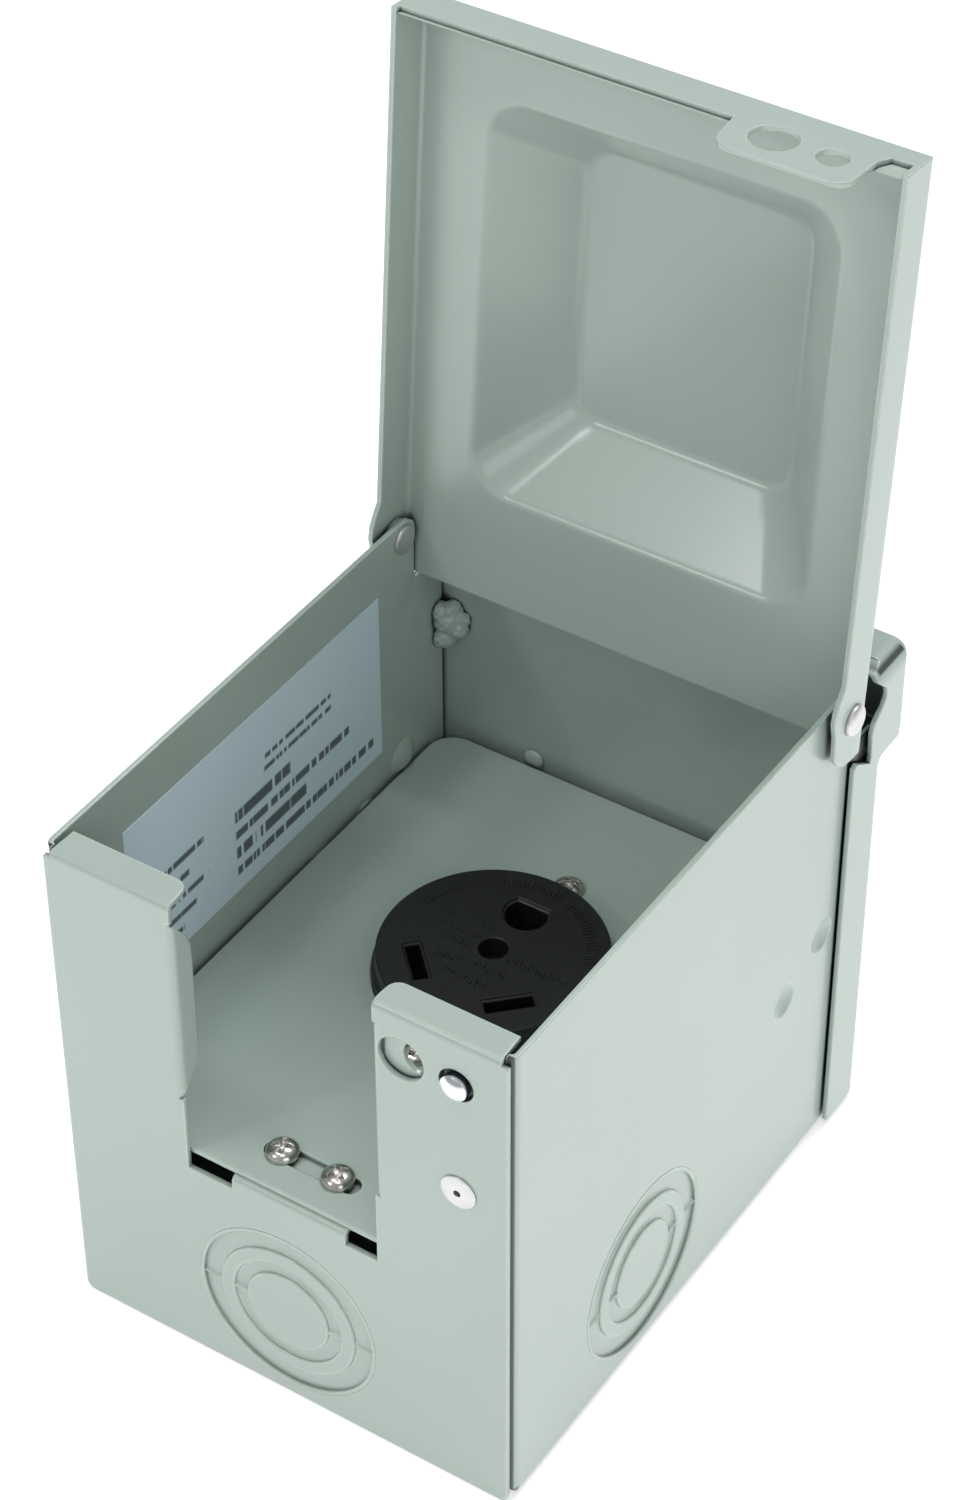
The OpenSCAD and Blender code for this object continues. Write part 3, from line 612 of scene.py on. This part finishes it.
# ---------------------------------------------------------------- weld beads
BEAD_MAX_X, BEAD_MAX_Y = 58.67, 153.57  # mm, planes the beads are pressed flat against
# x, y, z, radius of the blobs on the +X side, mm
BEAD_BLOBS = [(57.6, 151.6, 96.5, 3.6), (56.8, 152.0, 101.8, 4.1), (54.0, 152.4, 99.6, 3.0),
              (57.6, 150.4, 104.6, 2.6), (55.2, 152.6, 104.8, 2.4), (52.6, 153.0, 102.4, 2.0)]


def weld_bead(side):
    """Blobs fused by a voxel remesh, smoothed, then rippled along their normals"""
    bm = bmesh.new()
    for x, y, z, radius in BEAD_BLOBS:
        bmesh.ops.create_icosphere(bm, subdivisions=3, radius=radius,
                                   matrix=Matrix.Translation((side * x, y, z)))
    mesh = bpy.data.meshes.new("w")
    bm.to_mesh(mesh)
    bm.free()
    blob = bpy.data.objects.new("w", mesh)
    scene.collection.objects.link(blob)
    remesh = blob.modifiers.new("r", "REMESH")
    remesh.mode = "VOXEL"
    remesh.voxel_size = 0.35
    blob.modifiers.new("s", "SMOOTH").iterations = 6
    fused = blob.evaluated_get(bpy.context.evaluated_depsgraph_get()).to_mesh()
    points = np.array([tuple(v.co) for v in fused.vertices])
    normals = np.array([tuple(v.normal) for v in fused.vertices])
    ripple = (0.25 * np.sin(points[:, 0] * 1.9 + 1.3) * np.sin(points[:, 1] * 2.3)
              * np.sin(points[:, 2] * 2.7 + 0.4))
    points = points + normals * ripple[:, None]
    points[:, 0] = np.where(points[:, 0] * side > BEAD_MAX_X, side * BEAD_MAX_X, points[:, 0])
    points[:, 1] = np.minimum(points[:, 1], BEAD_MAX_Y)
    faces = [list(polygon.vertices) for polygon in fused.polygons]
    bpy.data.objects.remove(blob)
    return [Vector(point) * MM for point in points], faces


beads = new_piece("corner_weld_beads", *join([weld_bead(side) for side in (-1, 1)]),
                  "powder_coat", sharp=0)
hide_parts("corner_welds")


# ---------------------------------------------------------------- receptacle face
def round_face_edges():
    """The black face is kept from the CAD, with its edges bevelled"""
    face = NODES["receptacle_face"]
    face.modifiers.new("weld", "WELD").merge_threshold = 5e-6
    bevel = face.modifiers.new("bevel", "BEVEL")
    bevel.width = 0.0003
    bevel.segments = 2
    bevel.limit_method = "ANGLE"
    bevel.angle_limit = math.radians(40)


round_face_edges()

ARC_RADIUS = 22.9  # mm, arc of strokes about the middle of the face
# start x, end x, y from the middle of the face, stroke length, mm
STROKE_ROWS = [(-16.3, -13.4, 4.8, 1.5), (-6.3, -3.6, 5.4, 1.3), (-14.8, -4.8, 1.3, 1.6),
               (-12.9, -4.6, -2.3, 1.6), (-10.4, -3.4, -7.8, 2.1), (-0.7, 8.2, -6.9, 2.1),
               (-5.8, 5.8, -12.0, 2.1), (5.0, 20.4, -1.0, 2.1)]


def stroke(mid_x, mid_y, angle, width, length):
    """Raised bar with sloping sides, sunk slightly into the face"""
    cos, sin = math.cos(angle), math.sin(angle)
    verts = []
    for taper, rise in ((1.0, -0.05), (0.62, 0.24)):
        half_width = width / 2 * taper
        half_length = length / 2 - (1 - taper) * width / 2
        for side, end in ((-1, -1), (1, -1), (1, 1), (-1, 1)):
            u, v = side * half_width, end * half_length
            verts.append(((mid_x + u * cos - v * sin) * MM,
                          (FACE_MID_Y + mid_y + u * sin + v * cos) * MM,
                          (FACE_TOP_Z + rise) * MM))
    walls = [[i, (i + 1) % 4, 4 + (i + 1) % 4, 4 + i] for i in range(4)]
    return verts, [[3, 2, 1, 0], [4, 5, 6, 7]] + walls


def make_strokes():
    """Plain strokes where moulded characters would stand; they spell nothing"""
    rng = np.random.RandomState(11)
    strokes = []
    degrees = 166.0
    while degrees > 8.0:
        angle = math.radians(degrees)
        length = (2.5, 2.5, 1.5)[rng.randint(3)]
        strokes.append(stroke(ARC_RADIUS * math.cos(angle), ARC_RADIUS * math.sin(angle),
                              angle - math.pi / 2, width=0.5, length=length))
        # a wider gap after every 17 strokes
        degrees -= 2.5 if len(strokes) % 17 else 6.5
    for x, end_x, y, length in STROKE_ROWS:
        while x < end_x:
            kind = rng.randint(3)  # full height, short and high, short and low
            shift = (0, 0.2 * length, -0.2 * length)[kind]
            lean = (0.0, 0.0, 0.35)[rng.randint(3)]
            strokes.append(stroke(x, y + shift, lean, width=0.45,
                                  length=length if kind == 0 else 0.55 * length))
            x += 0.95 + 0.25 * rng.rand()
    new_piece("moulded_strokes", *join(strokes), "black_phenolic", sharp=30)


make_strokes()


# ---------------------------------------------------------------- camera, floor, light
def add_camera():
    data = bpy.data.cameras.new("camera")
    data.sensor_fit = "AUTO"
    data.sensor_width = 36.0
    data.lens = 91.25
    data.shift_y = 0.004
    data.clip_start, data.clip_end = 0.02, 30.0
    camera = bpy.data.objects.new("camera", data)
    scene.collection.objects.link(camera)
    camera.matrix_world = Matrix((
        (0.836804, -0.355922, 0.416027, 0.349484),
        (0.547495, 0.547915, -0.632485, -0.450416),
        (-0.002832, 0.757039, 0.653363, 0.683853),
        (0, 0, 0, 1)))
    scene.camera = camera


def floor_paper():
    """Near-white paper with a faint glow"""
    mat = Surface("floor_paper")
    color = mat.mix(mat.noise(scale=3.0), (0.90, 0.90, 0.90, 1), (0.92, 0.92, 0.92, 1))
    rough = mat.ramp(mat.noise(scale=200.0), over=(0, 1), to=(0.8, 0.9))
    return mat.finish({"Base Color": color, "Roughness": rough,
                       "Emission Color": (1, 1, 1, 1), "Emission Strength": 0.50})


def add_floor():
    bm = bmesh.new()
    bmesh.ops.create_grid(bm, x_segments=8, y_segments=8, size=4.0)
    mesh = bpy.data.meshes.new("studio_floor")
    bm.to_mesh(mesh)
    bm.free()
    floor = bpy.data.objects.new("studio_floor", mesh)
    floor.location = (0, 0, cad_low[2] - 0.0002)
    scene.collection.objects.link(floor)
    mesh.materials.append(floor_paper())


def add_world():
    world = bpy.data.worlds.new("studio")
    scene.world = world
    world.use_nodes = True
    background = world.node_tree.nodes["Background"]
    background.inputs["Color"].default_value = (1, 1, 1, 1)
    background.inputs["Strength"].default_value = 0.40


BOX_MID = (0.0, 0.08, 0.12)
# name, location, target, (width, height), watts
LIGHTS = [
    ("key_right", (1.25, -0.72, 0.88), BOX_MID, (1.0, 0.8), 4.3),
    ("front_soft", (-0.15, -1.30, 0.90), BOX_MID, (1.1, 0.7), 0.3),
    ("front_left_spot", (-0.60, -1.00, 1.10), BOX_MID, (0.20, 0.20), 2.1),
    ("top_front", (0.25, -0.45, 1.9), BOX_MID, (0.5, 0.5), 2.0),
    ("top_back", (0.05, 0.85, 1.55), (0.0, 0.1, 0.2), (0.45, 0.45), 11.0),
    ("left_sheen", (-0.30, -0.20, 1.27), (0.0, 0.15, 0.2), (0.20, 0.20), 2.1),
]


def add_light(name, location, target, size, power):
    data = bpy.data.lights.new(name, "AREA")
    data.shape = "RECTANGLE"
    data.size, data.size_y = size
    data.energy = power
    light = bpy.data.objects.new(name, data)
    light.location = location
    light.rotation_mode = "QUATERNION"
    aim = Vector(target) - Vector(location)
    light.rotation_quaternion = aim.to_track_quat("-Z", "Y")
    scene.collection.objects.link(light)


add_camera()
add_floor()
add_world()
for entry in LIGHTS:
    add_light(*entry)
scene.view_settings.view_transform = "Standard"
